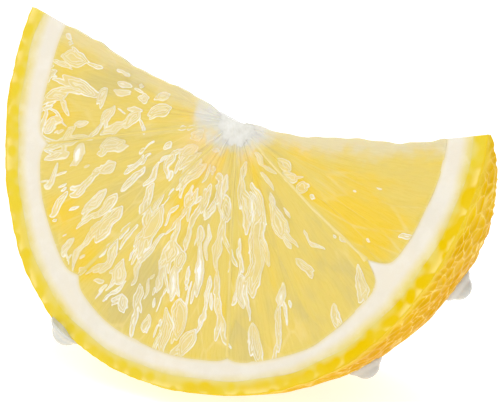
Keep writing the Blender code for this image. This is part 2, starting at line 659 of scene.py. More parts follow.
def build_peel():
    sizes = bpy.context.scene.yuzu_sizes
    piece = add_slab("peel", columns=600, rows=14, layers=1, outer_layers=110)
    shares = vertex_places(piece)
    turn = turn_at(shares[:, 0])
    rim = rim_radius(turn)
    deep = (1.0 - shares[:, 1]) * zest_reach(turn)
    places = fruit_point(turn, rim - deep, shares[:, 2])
    on_skin = smooth_step(deep, 0.30 * MM, 0.0)
    past = shares[:, 2] * back_cut_turn(turn, rim) * rim
    # The dimples are shallower next to the cut.
    settled = 0.35 + 0.65 * smooth_step(past, 0.2 * MM, 1.6 * MM)
    relief, gap, own = peel_height(places, sizes.gland_size, sizes.seed)
    swell = layered_noise(places, 5.0 * MM, sizes.seed + 20) - 0.5
    lumps = noise_at(places, 1.7 * MM, sizes.seed + 26) - 0.5
    lift = (relief - 0.75) * sizes.gland_relief * settled + (swell - 0.3) * 0.25 * MM
    lift = lift + lumps * 0.20 * MM
    outward = places - CORE
    outward /= np.linalg.norm(outward, axis=1)[:, None]
    grain = cut_grain(places, shares[:, 2], sizes.seed) * (1.0 - on_skin)
    places = places + outward * (lift * on_skin)[:, None]
    move_vertices(piece, places - inward(grain))
    keep_values(
        piece,
        deep=deep * zest_share(turn) / MM,
        gap=gap / MM,
        own=own,
        ripe=ripeness(turn, shares[:, 2], swell),
        past=past / MM,
    )
    finish_piece(piece, peel_material(), "yuzu_wedge", sharp=math.radians(50.0))


def cut_rind_colour(make, deep):
    """The cut rind's colour at a depth: zest, with glands that bulge into a glow, then white."""
    colours = bpy.context.scene.yuzu_colours
    limit = bpy.context.scene.yuzu_sizes.zest_depth / MM
    place = make.place()
    gland = make.cells(place, 760.0, "SMOOTH_F1", 0.85)
    wander = make.noise(place, 130.0, 2.0)
    bulge = make.times(make.math("SUBTRACT", 0.42, gland), 1.9)
    bulge = make.plus(bulge, make.sway(wander, 1.2))
    fray = make.math("SUBTRACT", deep, bulge)
    glowing = make.range(gland, 0.25, 0.60, 0.0, 0.30)
    zest = make.mix(glowing, colours.zest, colours.glow)
    ripe = make.plus(make.value("ripe"), make.range(wander, 0.35, 0.65, -0.2, 0.2))
    zest = make.mix(make.range(ripe, 0.1, 0.7), zest, colours.peel)
    # Pale splits between the glands at the outside
    outermost = make.range(deep, 1.3, 0.3, 0.0, 0.7)
    split = make.times(make.range(gland, 0.42, 0.60), outermost)
    zest = make.mix(split, zest, colours.split_and_ridge_sheen)
    colour = make.mix(make.range(fray, limit - 0.75, limit + 0.55), zest, colours.glow)
    faded = make.plus(deep, make.sway(wander, 1.0))
    return make.mix(make.range(faded, limit, limit + 1.6), colour, colours.pith)


def peel_material():
    colours = bpy.context.scene.yuzu_colours
    make = MaterialMaker("peel")
    place = make.place()
    deep = make.value("deep")
    gap = make.value("gap")
    own = make.value("own")
    # The skin: golden, a deeper orange in the deeper dimples, partly painted shade, with painted
    # highlight on the ridges between the dimples
    mottle = make.noise(place, 260.0, 4.0)
    broad = make.noise(place, 60.0, 2.0)
    ripe = make.plus(make.value("ripe"), make.range(broad, 0.38, 0.62, -0.15, 0.15))
    skin = make.mix(make.range(ripe, 0.0, 1.0), colours.peel, colours.peel_deep)
    # Deeper dimples get a deeper orange: partly painted shade
    skin = make.mix(make.times(own, 0.35), skin, colours.peel_deep)
    # Painted highlight along the ridges between the dimples, fainter next to the cut
    ridge = make.range(gap, 0.14, 0.02)
    pale = make.times(ridge, make.range(mottle, 0.38, 0.64, 0.20, 0.80))
    past = make.value("past")
    pale = make.times(pale, make.range(past, 0.5, 1.7, 0.15, 1.0))
    skin = make.mix(make.range(past, 1.9, 0.2, 0.0, 0.55), skin, colours.zest)
    skin = make.mix(pale, skin, colours.split_and_ridge_sheen)
    pore = make.range(make.cells(place, 1500.0), 0.26, 0.10)
    skin = make.mix(make.times(pore, 0.22), skin, colours.peel_deep)
    on_cut = make.range(deep, 0.03, 0.40)
    colour = make.mix(on_cut, skin, cut_rind_colour(make, deep))
    fine = make.noise(place, 2600.0, 3.0)
    normal = make.bump(fine, 0.25, 0.05 * MM)
    normal = make.bump(mottle, 0.25, 0.12 * MM, normal)
    rough = make.range(mottle, 0.3, 0.7, 0.34, 0.50)
    rough = make.plus(rough, make.times(on_cut, 0.10))
    make.settings(
        Base_Color=colour,
        Roughness=rough,
        Normal=normal,
        Subsurface_Weight=0.15,
        Subsurface_Radius=(1.0, 0.6, 0.10),
        Subsurface_Scale=0.0008,
        Specular_IOR_Level=0.06,
        Specular_Tint=(1.0, 0.80, 0.30),
        IOR=1.46,
    )
    return make.material


def pith_inner_radius(turn):
    """Where the pith ends inside: a scalloped line that dips in towards each wall."""
    inner = rim_radius(turn) - rind_depth(turn)
    for wall, tongue in zip(WALL_TURNS, WALL_TONGUES):
        inner = inner - tongue * np.exp(-np.abs((turn - wall) / math.radians(1.9)) ** 1.4)
    return inner


def build_pith():
    sizes = bpy.context.scene.yuzu_sizes
    piece = add_slab("pith", columns=480, rows=24, layers=10)
    shares = vertex_places(piece)
    turn = turn_at(shares[:, 0])
    rim = rim_radius(turn)
    outer = rim - zest_reach(turn)
    inner = pith_inner_radius(turn)
    radius = inner + (outer - inner) * shares[:, 1]
    places = fruit_point(turn, radius, shares[:, 2])
    border = smooth_step(shares[:, 1], 0.14, 0.0)
    front = smooth_step(shares[:, 2], 0.02, 0.0)
    lift = cut_grain(places, shares[:, 2], sizes.seed) - 0.05 * MM * border * front
    move_vertices(piece, places - inward(lift))
    keep_values(
        piece,
        deep=(rim - radius) * zest_share(turn) / MM,
        inside=(radius - inner) / MM,
        ripe=ripeness(turn, shares[:, 2], 0.0),
    )
    finish_piece(piece, pith_material(), "yuzu_wedge")


def pith_material():
    colours = bpy.context.scene.yuzu_colours
    make = MaterialMaker("pith")
    place = make.place()
    inside = make.value("inside")
    sponge = make.noise(place, 420.0, 5.0, 0.62)
    patch = make.noise(place, 110.0, 2.0)
    colour = cut_rind_colour(make, make.value("deep"))
    white = make.range(patch, 0.35, 0.7, 0.0, 0.25)
    colour = make.mix(white, colour, colours.core)
    colour = make.mix(make.range(sponge, 0.42, 0.66, 0.0, 0.22), colour, (0.96, 0.93, 0.86))
    wet = make.range(inside, 0.60, 0.0, 0.0, 0.5)
    colour = make.mix(wet, colour, colours.wall)
    normal = make.bump(sponge, 0.30, 0.08 * MM)
    make.settings(
        Base_Color=colour,
        Roughness=make.range(sponge, 0.3, 0.7, 0.45, 0.62),
        Normal=normal,
        Subsurface_Weight=0.2,
        Subsurface_Radius=(1.0, 0.85, 0.55),
        Subsurface_Scale=0.0008,
        Specular_IOR_Level=0.30,
    )
    return make.material


# ---- Flesh ----


# The large sheen films on the front cut, listed one by one. Each is a strip from one place to
# another, as a turn in degrees and a radius in millimetres, then its width and how white its
# painted highlight is.
LARGE_SHEEN_FILMS = (
    (-67, 4.6, -64, 6.0, 1.2, 0.4), (-52, 5.8, -49, 8.6, 1.3, 0.5),
    (-56, 8.8, -45, 10.8, 0.9, 0.4), (-63, 8.6, -60, 9.6, 0.6, 0.6),
    (-78, 5.9, -73, 6.4, 0.4, 0.7), (-75, 6.6, -74, 7.4, 0.6, 0.9),
    (-97, 9.8, -93, 11.0, 0.9, 0.3), (-89, 9.2, -84, 11.4, 1.5, 0.3),
    (-93, 11.9, -91, 12.8, 1.0, 0.8), (-85, 12.8, -77, 14.4, 1.4, 0.4),
    (-80, 12.8, -73, 12.3, 0.4, 0.5), (-79, 14.2, -75, 17.6, 0.8, 0.5),
    (-71, 14.8, -70, 17.6, 1.5, 0.5), (-64, 16.2, -61, 18.8, 1.4, 0.5),
    (-61, 18.8, -58, 23.3, 0.7, 0.5), (-62, 12.7, -57, 15.2, 0.7, 0.8),
    (-56, 13.0, -51, 16.5, 0.7, 0.5), (-54, 11.0, -48, 13.8, 0.6, 0.5),
    (-47, 13.0, -40, 15.8, 0.9, 0.6), (-85, 16.2, -79, 17.6, 1.5, 0.6),
    (-91, 17.6, -86, 18.8, 1.2, 0.5), (-88, 18.8, -92, 23.2, 1.3, 0.4),
    (-98.5, 19.0, -98, 21.0, 0.5, 0.3), (-98.5, 21.0, -98.5, 24.2, 1.7, 0.3),
    (-92.5, 14.5, -92, 16.0, 0.5, 0.9), (-79, 17.4, -74, 19.2, 0.6, 0.5),
    (-80, 19.5, -79, 21.0, 0.8, 0.9), (-78, 21.0, -73, 22.4, 1.1, 0.4),
    (-74, 18.6, -73, 26.0, 1.0, 0.4), (-71, 20.0, -67, 21.6, 1.3, 0.9),
    (-82, 21.7, -86, 23.0, 0.6, 0.4), (-87.5, 22.4, -86, 25.2, 1.2, 0.4),
    (-78, 22.0, -84, 24.6, 0.3, 0.6), (-93, 24.2, -91, 25.8, 1.1, 0.5),
    (-80, 23.7, -78, 24.8, 1.2, 0.8), (-84, 24.8, -76, 25.6, 0.5, 0.8),
    (-70.5, 22.2, -69.5, 25.8, 0.9, 0.6), (-68, 24.0, -61, 25.8, 0.5, 0.6),
    (-59, 23.6, -56, 26.4, 0.7, 0.4), (-54, 18.8, -52, 22.0, 1.1, 0.7),
    (-51, 17.4, -48, 21.4, 1.1, 0.5), (-47, 17.3, -42, 22.6, 1.7, 0.4),
    (-47.5, 19.2, -44, 21.8, 0.4, 1.0), (-39, 17.5, -37.5, 19.4, 0.6, 0.5),
    (-38, 19.8, -34, 24.2, 1.2, 0.4), (-47, 24.4, -45, 26.6, 0.8, 0.8),
    (-44, 24.0, -41, 26.3, 0.7, 0.6), (-44, 6.2, -42, 9.0, 1.1, 0.4),
    (-38, 6.4, -35, 9.8, 1.0, 0.4), (-31, 6.6, -32, 9.8, 1.1, 0.5), (-33, 4.3, -24, 3.8, 0.5, 0.8),
    (-25, 6.2, -21, 8.2, 0.6, 0.5), (-19, 6.7, -13, 6.3, 1.1, 0.4),
    (-24.5, 9.3, -22, 11.3, 1.0, 0.4), (-40, 12.2, -37, 14.4, 0.8, 0.4),
    (-40, 14.6, -33, 16.4, 1.2, 0.3), (-34, 13.4, -29, 17.8, 2.2, 0.3),
    (-32, 17.0, -31, 18.8, 0.6, 0.5), (-29, 17.0, -27, 19.3, 1.0, 0.5),
    (-23, 15.5, -26, 20.0, 0.7, 0.5), (-26, 19.0, -25, 22.2, 0.7, 0.6),
    (-20.5, 9.0, -20, 13.2, 0.8, 0.3), (-21, 13.0, -16.5, 16.0, 0.8, 0.5),
    (-11.5, 7.9, -10.5, 11.2, 1.0, 0.3), (-14, 8.4, -12.5, 13.4, 0.7, 0.4),
    (-12.5, 13.4, -12.5, 15.8, 0.4, 0.5), (-17.5, 15.5, -16.5, 18.2, 1.4, 0.4),
    (-14, 16.0, -11, 17.6, 1.3, 0.3), (-16.5, 18.0, -15.5, 21.6, 0.8, 0.5),
    (-12.5, 17.4, -9.5, 21.3, 1.1, 0.9), (-6, 6.8, 1, 6.3, 0.8, 0.5), (0, 6.5, -1, 8.9, 0.8, 0.5),
    (-2, 9.0, -7, 11.9, 0.6, 0.4), (-4, 12.4, 0, 16.0, 0.6, 0.9), (-8, 12.8, -5, 15.0, 0.7, 0.5),
    (-5, 14.4, -1, 20.2, 1.1, 0.95), (6, 6.0, 4.5, 8.2, 0.7, 0.5), (7, 8.2, 7, 11.2, 1.2, 0.3),
    (0, 8.8, 4, 11.6, 0.35, 0.6), (4.5, 11.0, 5, 16.6, 1.1, 0.3), (2.5, 17.6, 3.5, 21.2, 0.6, 0.9),
    (3.5, 20.6, 1, 23.8, 0.4, 0.8), (0.5, 23.6, -2, 26.6, 1.6, 0.4),
    (5.5, 16.6, 6, 19.4, 0.7, 0.4), (6.5, 18.8, 7.8, 24.2, 0.8, 0.3),
    (-32, 20.6, -29.5, 23.8, 1.4, 0.5), (-28, 22.4, -28, 25.6, 0.35, 0.7),
    (-22.5, 21.6, -20.5, 24.2, 1.0, 0.4), (-26, 24.0, -22, 25.2, 1.1, 0.7),
    (-20.5, 24.0, -17.5, 27.0, 0.7, 0.6), (-7, 20.8, -4, 24.9, 2.0, 0.2),
    (-10, 22.6, -7, 26.8, 1.5, 0.2), (-15.5, 24.6, -14.5, 26.4, 0.9, 0.4),
    (-15.5, 22.4, -15, 23.5, 0.35, 1.0), (28, 4.6, 22.5, 6.6, 0.6, 0.4),
    (22.5, 6.0, 20.5, 12.8, 1.2, 0.3), (33.5, 7.6, 30, 13.0, 0.9, 0.4),
    (30, 11.0, 21, 19.4, 2.2, 0.2), (28, 8.4, 26.5, 12.8, 0.8, 0.5),
    (16.5, 13.0, 15.5, 17.5, 0.35, 0.4), (16.5, 17.2, 16, 20.6, 1.2, 0.5),
    (19.5, 17.4, 17.5, 22.4, 0.5, 1.0), (18.5, 22.8, 19.5, 26.4, 1.4, 0.3),
    (32, 19.4, 29.5, 21.6, 1.0, 0.9), (29, 21.4, 26, 25.9, 1.0, 0.3),
    (45, 6.6, 46, 9.3, 0.45, 0.8), (42.5, 9.6, 41.5, 10.6, 0.7, 0.8),
    (41, 10.5, 39.5, 14.1, 1.7, 0.3), (40, 14.2, 41.5, 15.8, 0.5, 0.6),
    (41.5, 17.5, 43.5, 19.4, 1.2, 0.3), (43, 4.1, 50, 5.8, 0.6, 0.5), (50, 5.8, 57, 7.5, 0.5, 0.6),
    (52, 15.2, 51, 16.6, 0.35, 0.8), (51, 16.4, 52, 18.4, 0.5, 0.9),
    (68.5, 6.9, 67, 8.4, 1.0, 0.3), (63.5, 8.2, 64.5, 9.9, 0.9, 0.5),
    (63.5, 10.4, 65.5, 11.8, 0.9, 0.2), (64, 12.8, 64, 13.3, 0.5, 1.0),
    (60.5, 18.5, 60, 19.5, 0.6, 0.4), (71, 24.5, 72.5, 25.6, 0.6, 0.6),
    (45, 24.6, 42, 27.0, 0.9, 0.3), (58, 22.6, 51, 26.0, 1.1, 0.4),
)


# No sheen film reaches out past this radius, or matters to a point farther off than the margin
LAST_SHEEN_FILM = 26.2 * MM
SHEEN_FILM_MARGIN = 3.0 * MM
FAR_AWAY = 9.0
# What bends the outlines of the sheen films: size and reach in millimetres, and the first seed
SHEEN_FILM_WARPS = ((0.5, 0.14, 1), (1.3, 0.55, 7), (3.0, 0.9, 13))


class SheenFilms:
    """Sheen films on a cut: patches of painted highlight, each also raised a little, listed one by
    one or strung out from the core.
    """

    def __init__(self, seed, large, strings):
        self.seed = seed
        self.strips = []
        draw = np.random.default_rng(seed)
        for film in large:
            self.add_forked(draw, *film)
        for string in strings:
            self.add_strings(draw, *string)

    def add_forked(self, draw, turn, radius, end_turn, end_radius, width, white):
        """One strip; wider ones fork, into narrow strips that run off aslant."""
        start = self.flat(math.radians(turn), radius * MM)
        end = self.flat(math.radians(end_turn), end_radius * MM)
        self.strips.append((start, end, width * MM, white))
        for _ in range(int(width > 0.75) + int(width > 1.2)):
            share = draw.uniform(0.1, 0.7)
            angle = draw.choice((-1.0, 1.0)) * draw.uniform(0.15, 0.6)
            run = (end - start) * draw.uniform(0.5, 0.9)
            cosine = math.cos(angle)
            sine = math.sin(angle)
            turned = np.array(((cosine, -sine), (sine, cosine))) @ run
            origin = start + (end - start) * share
            narrow = width * draw.uniform(0.3, 0.55) * MM
            self.strips.append((origin, origin + turned, narrow, white))

    def add_strings(self, draw, left, right, count, near, far, longest, widest):
        """Strings of short strips that run out from the core, each of its own width."""
        for _ in range(count):
            turn = math.radians(draw.uniform(left, right))
            radius = draw.uniform(near, far) * MM
            last = min(radius + draw.uniform(0.10, 1.0) * longest * MM, LAST_SHEEN_FILM)
            while radius < last:
                length = draw.uniform(0.1, 1.0) ** 1.4 * 6.0 * MM
                length = min(length, last - radius + 0.3 * MM)
                width = draw.uniform(0.25, 1.0) ** 1.3 * widest * MM
                next_turn = turn + draw.normal(0.0, 0.09) * length / radius
                start = self.flat(turn, radius)
                end = self.flat(next_turn, radius + length)
                self.strips.append((start, end, width, draw.uniform(0.0, 1.0)))
                turn = next_turn + draw.normal(0.0, 0.2) * MM / (radius + length)
                radius += length * draw.uniform(0.88, 1.12)

    @staticmethod
    def flat(turn, radius):
        """A place on the cut face, as a step across and a step up from the core."""
        return np.stack([radius * np.sin(turn), -radius * np.cos(turn)], axis=-1)

    def at(self, turn, radius):
        """How far each point is outside the sheen films, below zero inside, and the whiteness of
        their painted highlight.
        """
        flat = self.flat(turn, radius)
        level = as_rows(flat[:, 0], flat[:, 1], 0.0)
        warped = flat
        for size, reach, first in SHEEN_FILM_WARPS:
            shift = [noise_at(level, size * MM, self.seed + first + axis) - 0.5 for axis in (0, 3)]
            warped = warped + as_rows(*shift) * reach * MM
        nearest = np.full(len(turn), FAR_AWAY)
        bright = np.zeros(len(turn))
        low = flat.min(axis=0) - SHEEN_FILM_MARGIN
        high = flat.max(axis=0) + SHEEN_FILM_MARGIN
        for start, end, width, white in self.strips:
            if ((start < low) | (start > high)).any():
                continue
            run = end - start
            away = warped - start
            share = np.clip(away @ run / (run @ run), 0.0, 1.0)
            half_width = width * (0.11 + 0.39 * np.sin(share * math.pi) ** 0.7)
            distance = np.linalg.norm(away - share[:, None] * run, axis=1) - half_width
            nearer = distance < nearest
            bright = np.where(nearer, white, bright)
            nearest = np.where(nearer, distance, nearest)
        return nearest, bright


# Small sheen films, as strings: left turn, right turn, how many, nearest and farthest start from
# the core, longest, widest
SMALL_SHEEN_FILMS = (
    (-103.0, -76.0, 12, 12.0, 24.0, 2.0, 0.7),
    (-95.0, -60.0, 16, 22.5, 25.5, 2.0, 0.6),
    (-72.0, -36.0, 14, 5.0, 24.0, 4.0, 0.6),
    (-58.0, -20.0, 12, 24.0, 26.0, 1.5, 0.5),
    (-36.0, -4.0, 22, 4.0, 24.0, 4.0, 0.45),
    (-4.0, 16.0, 4, 4.0, 24.0, 3.0, 0.4),
    (14.0, 60.0, 9, 6.0, 25.0, 2.0, 0.35),
    (62.0, 92.0, 4, 8.0, 25.0, 0.8, 0.3),
)
BACK_SHEEN_FILMS = (
    (-100.0, 95.0, 60, 4.0, 22.0, 9.0, 1.3),
    (-60.0, 60.0, 26, 4.0, 20.0, 14.0, 1.3),
    (-100.0, 95.0, 60, 6.0, 25.0, 3.0, 0.6),
)


# Columns of faces for each radian of flesh, and the limits for one segment
COLUMNS_A_TURN = 226.0
FEWEST_COLUMNS = 110
MOST_COLUMNS = 210
# How much of a wall's width the flesh leaves free on each side
WALL_ROOM = 0.20


def sac_relief(turn, radius, depth, seed):
    """The juice sacs: their bulge from 0 to 1, the gap to the next sac, and each one's number."""
    sizes = bpy.context.scene.yuzu_sizes
    stretch = sizes.sac_width / sizes.sac_length
    points = as_rows(turn * LAYOUT_RADIUS, radius * stretch, depth * sizes.sac_width)
    points[:, 0] += (noise_at(points, 3.0 * MM, seed + 41) - 0.5) * MM
    first, second, own = cells_at(points, sizes.sac_width, seed + 42)
    gap = second - first
    return smooth_step(gap, 0.0, sizes.sac_width * 0.55), gap, own


def edge_wobble(turn, radius, seed):
    """A small unevenness of the top edge, as a length: 0 away from where the turns end."""
    share = (turn + LEFT_TIP_TURN) / (LEFT_TIP_TURN + RIGHT_TIP_TURN)
    near = (1.0 - np.minimum(share, 1.0 - share) / 0.012).clip(0.0, 1.0)
    return near * (layered_noise(as_rows(radius, 0.0, 0.0), 2.6 * MM, seed, 2) - 0.5) * 0.75 * MM


def build_segment(number, left, right, sheen_films, material):
    """One segment of flesh between two walls, with its sacs bulging out of both cuts."""
    sizes = bpy.context.scene.yuzu_sizes
    seed = sizes.seed
    columns = int(np.clip((right - left) * COLUMNS_A_TURN, FEWEST_COLUMNS, MOST_COLUMNS))
    piece = add_slab("flesh_%d" % number, columns, rows=212, layers=6)
    shares = vertex_places(piece)
    depth = shares[:, 2]
    # The walls keep their width, so the segment gives way to them as it narrows to the core.
    outer = pith_inner_radius(left + (right - left) * shares[:, 0]) + 0.10 * MM
    radius = FLESH_START + (outer - FLESH_START) * shares[:, 1]
    walled_left = left > -LEFT_TIP_TURN
    walled_right = right < RIGHT_TIP_TURN
    wall_share = sizes.wall_width * WALL_ROOM / radius
    start = left + walled_left * wall_share
    end = right - walled_right * wall_share
    turn = start + (end - start) * shares[:, 0]
    places = fruit_point(turn, radius, depth)
    # The borders sink to the walls, the pith and the core.
    side = np.minimum(
        (turn - left) * radius if walled_left else FAR_AWAY,
        (right - turn) * radius if walled_right else FAR_AWAY,
    )
    border = np.minimum(side, outer - radius)
    sunk = 1.0 - smooth_step(border, 0.0, 0.5 * MM)
    bulge, gap, own = sac_relief(turn, radius, depth, seed)
    film = np.empty_like(turn)
    bright = np.empty_like(turn)
    for half, on_cut in zip((depth < 0.5, depth >= 0.5), sheen_films):
        film[half], bright[half] = on_cut.at(turn[half], radius[half])
    # The sheen films stand up a little, with a lip round each; the flesh material paints them as
    # highlight.
    on_sheen_film = smooth_step(film, 0.06 * MM, -0.10 * MM)
    lip = np.exp(-((film / (0.09 * MM)) ** 2))
    pocket = smooth_step(film, -0.10 * MM, -0.45 * MM)
    points = as_rows(turn * LAYOUT_RADIUS, radius, depth * LAYOUT_DEPTH)
    ripple = layered_noise(points, 0.8 * MM, seed + 60) - 0.5
    broad = layered_noise(points, 4.0 * MM, seed + 64) - 0.5
    lift = (bulge - 0.7) * sizes.sac_relief + own * 0.05 * MM + broad * 0.3 * MM
    lift = lift + on_sheen_film * sizes.sheen_film_relief * (1.0 - 0.45 * pocket) + lip * 0.03 * MM
    lift = lift + on_sheen_film * ripple * 0.16 * MM
    lift = lift * (1.0 - 0.85 * sunk) - sunk * 0.02 * MM
    # Where the wedge is thin, the flesh keeps flatter.
    thin = smooth_step(radius * np.sin(back_cut_turn(turn, radius)), 0.5 * MM, 2.0 * MM)
    lift = lift * (0.35 + 0.65 * thin)
    in_front, at_back = near_cuts(depth, 0.10)
    places = places - inward(lift * in_front) + back_cut_normal(turn) * (lift * at_back)[:, None]
    places = places + across(turn) * edge_wobble(turn, radius, seed + 70)[:, None]
    move_vertices(piece, places)
    keep_flow(piece, turn, radius, depth)
    keep_values(
        piece,
        film=film / MM,
        bright=bright,
        gap=gap / MM,
        own=own,
        border=border / MM,
        warm=flesh_warmth(turn, radius, depth, seed),
        milk=flesh_milk_and_glow(turn, radius, depth, seed),
        peach=sum(spot(turn, radius, *place) for place in PEACH_SPOTS),
    )
    finish_piece(piece, material, "yuzu_wedge")


# Where the flesh is deeper coloured, or clearer below 0: how much, turn in degrees, radius in
# millimetres, and how far each way it reaches
WARM_SPOTS = (
    (0.9, 67, 17, 7, 9),
    (0.8, -28, 11, 9, 6),
    (0.6, 40, 6, 14, 2),
    (0.5, -84, 6, 8, 2),
    (0.6, -20, 5, 14, 2),
    (0.5, -85, 24, 12, 3),
    (0.6, -54, 25, 8, 3),
    (0.6, -38, 24.5, 4, 2),
    (0.3, -5, 24, 6, 3),
    (0.5, 84, 8.5, 6, 2),
    (0.4, 80, 17, 12, 9),
    (-0.7, -22, 22, 8, 5),
    (-0.5, -45, 16.5, 7, 4),
    (-0.5, 55, 18, 5, 6),
    (-0.4, -95, 19, 7, 4),
    (-0.3, 14, 24, 6, 4),
)
# Where the flesh turns peach, by the core
PEACH_SPOTS = ((-45, 5.0, 40, 2.2), (45, 4.2, 30, 1.2))


def spot(turn, radius, middle_turn, middle_radius, turn_size, radius_size):
    """1 at a middle, fading round it: turns in degrees, radii in millimetres."""
    away = ((turn - math.radians(middle_turn)) / math.radians(turn_size)) ** 2
    away = away + ((radius - middle_radius * MM) / (radius_size * MM)) ** 2
    return np.exp(-away)


def flesh_warmth(turn, radius, depth, seed):
    """Where the flesh is deeper coloured, from 0 to 1, and below 0 where it is clearer."""
    points = as_rows(turn * LAYOUT_RADIUS, radius * 0.4, depth * 4.0 * MM)
    warm = (layered_noise(points, 2.2 * MM, seed + 80) - 0.5) * 0.9
    for amount, *place in WARM_SPOTS:
        warm += amount * spot(turn, radius, *place)
    return warm


def flesh_milk_and_glow(turn, radius, depth, seed):
    """Where the flesh pales: at the core, and along the thin top edge as a painted glow of light
    shining through it.
    """
    points = as_rows(radius * np.sin(turn), radius * np.cos(turn), depth * 4.0 * MM)
    streak = layered_noise(points, 1.3 * MM, seed + 90) - 0.5
    wide = 2.4 * MM * smooth_step(np.abs(turn), math.radians(55.0), math.radians(90.0))
    near_core = smooth_step(radius + streak * 3.4 * MM, 4.9 * MM + wide, 2.5 * MM + wide * 0.5)
    # Painted glow of light shining through the thin top edge
    edge = np.minimum((turn + LEFT_TIP_TURN) * radius, (RIGHT_TIP_TURN - turn) * radius)
    edge_glow = smooth_step(edge + streak * 2.0 * MM, 2.8 * MM, 0.2 * MM)
    share = np.where(turn < 0.0, 0.30, 0.50)
    return np.maximum(near_core * 0.95, share * edge_glow)


def flesh_material():
    colours = bpy.context.scene.yuzu_colours
    make = MaterialMaker("flesh")
    film = make.value("film")
    bright = make.value("bright")
    gap = make.value("gap")
    own = make.value("own")
    border = make.value("border")
    warm = make.value("warm")
    milk = make.value("milk")
    place = make.place()
    streak = make.noise(make.flow((9.0, 0.16, 1.0)), 1.0, 2.0, 0.5, 0.8)
    fine_streak = make.noise(make.flow((70.0, 0.35, 3.0)), 1.0, 3.0, 0.6, 0.3)
    cloud = make.noise(place, 160.0, 3.0)
    # Clear, middling and deep flesh, along the sacs
    tone = make.plus(warm, make.sway(streak, 1.0))
    tone = make.plus(tone, make.sway(own, 0.20))
    colour = make.mix(make.range(tone, 0.05, -0.55), colours.flesh, colours.flesh_dim)
    colour = make.mix(make.range(tone, 0.05, 0.85), colour, colours.flesh_warm)
    # Faint pale streaks along the sacs, in the sheen films' cream
    pale = make.range(fine_streak, 0.55, 0.75, 0.0, 0.05)
    colour = make.mix(pale, colour, colours.film)
    skin = make.range(gap, 0.14, 0.0, 0.0, 0.45)
    skin = make.times(skin, make.range(cloud, 0.42, 0.6))
    colour = make.mix(skin, colour, colours.wall)
    # Painted highlight on the sheen films: a pale cream veil, thin white outlines, fainter outlines
    # within, and a glint in the whitest ones
    inside = make.range(film, 0.03, -0.05)
    sheen_veil = make.times(inside, make.range(bright, 0.0, 1.0, 0.35, 0.85))
    sheen_veil = make.times(sheen_veil, make.range(fine_streak, 0.3, 0.7, 0.65, 1.0))
    colour = make.mix(sheen_veil, colour, colours.film)
    waver = make.sway(make.noise(place, 500.0, 3.0), 0.9)
    wavy = make.plus(film, waver)
    # Painted highlight: a white outline round each sheen film, and fainter outlines within
    edge = make.times(make.line(film, 0.0, 0.11), 0.9)
    inner_highlight = make.times(make.line(wavy, -0.24, 0.07), 0.6)
    innermost_highlight = make.times(make.line(wavy, -0.52, 0.09), 0.5)
    inner_highlight = make.times(make.larger(inner_highlight, innermost_highlight), inside)
    # Painted glint inside the whitest sheen films
    gleam = make.times(make.range(wavy, -0.26, -0.44), make.range(bright, 0.78, 0.95))
    edge = make.larger(edge, inner_highlight)
    edge = make.times(edge, make.range(cloud, 0.30, 0.58, 0.35, 1.0))
    edge = make.larger(edge, gleam)
    colour = make.mix(edge, colour, colours.painted_film_highlight)
    peach = make.times(make.value("peach"), make.range(cloud, 0.35, 0.6, 0.25, 0.85))
    colour = make.mix(peach, colour, colours.peach)
    rim = make.range(border, 0.35, 0.0, 0.0, 0.6)
    colour = make.mix(rim, colour, colours.wall)
    # Paler at the core, and a painted glow along the thin top edge
    colour = make.mix(milk, colour, colours.core)
    rough = make.range(fine_streak, 0.3, 0.7, 0.20, 0.38)
    rough = make.plus(rough, make.times(inside, -0.10))
    grain = make.noise(make.flow((120.0, 1.2, 6.0)), 1.0, 3.0)
    normal = make.bump(grain, 0.05, 0.05 * MM)
    normal = make.bump(edge, 0.5, 0.05 * MM, normal)
    make.settings(
        Base_Color=colour,
        Roughness=rough,
        Normal=normal,
        Subsurface_Weight=0.25,
        Subsurface_Radius=(1.0, 0.75, 0.20),
        Subsurface_Scale=0.0010,
        Specular_IOR_Level=0.5,
        Coat_Weight=0.3,
        Coat_Roughness=0.10,
        IOR=1.36,
    )
    return make.material


def build_wall(number, wall, shows, material):
    """The wall between two segments, as a thin sheet that stands a little proud of the cuts."""
    sizes = bpy.context.scene.yuzu_sizes
    piece = add_slab("wall_%d" % number, columns=6, rows=200, layers=8)
    shares = vertex_places(piece)
    side = shares[:, 0] * 2.0 - 1.0
    depth = shares[:, 2]
    outer = pith_inner_radius(wall) + 0.15 * MM
    radius = WALL_START + (outer - WALL_START) * shares[:, 1]
    points = as_rows(radius, 0.0, depth * LAYOUT_DEPTH)
    wander = (layered_noise(points, 3.0 * MM, sizes.seed + 100 + number) - 0.5) * 0.25 * MM
    widen = 1.0 + 1.2 * smooth_step(radius, outer - 1.6 * MM, outer)
    uneven = 0.7 + 0.6 * noise_at(points, 1.5 * MM, sizes.seed + 110)
    turn = wall + (side * sizes.wall_width * uneven * widen * 0.5 + wander) / radius
    crown = (1.0 - side**2) * 0.05 * MM - 0.02 * MM
    crown = crown - 0.15 * MM * smooth_step(radius, outer - 0.5 * MM, outer)
    in_front, at_back = near_cuts(depth, 0.10)
    places = fruit_point(turn, radius, depth) - inward(crown * in_front)
    places = places + back_cut_normal(turn) * (crown * at_back)[:, None]
    move_vertices(piece, places)
    keep_flow(piece, turn, radius, depth)
    milk = flesh_milk_and_glow(turn, radius, depth, sizes.seed)
    keep_values(piece, plain=np.full_like(turn, shows), milk=milk)
    finish_piece(piece, material, "yuzu_wedge")


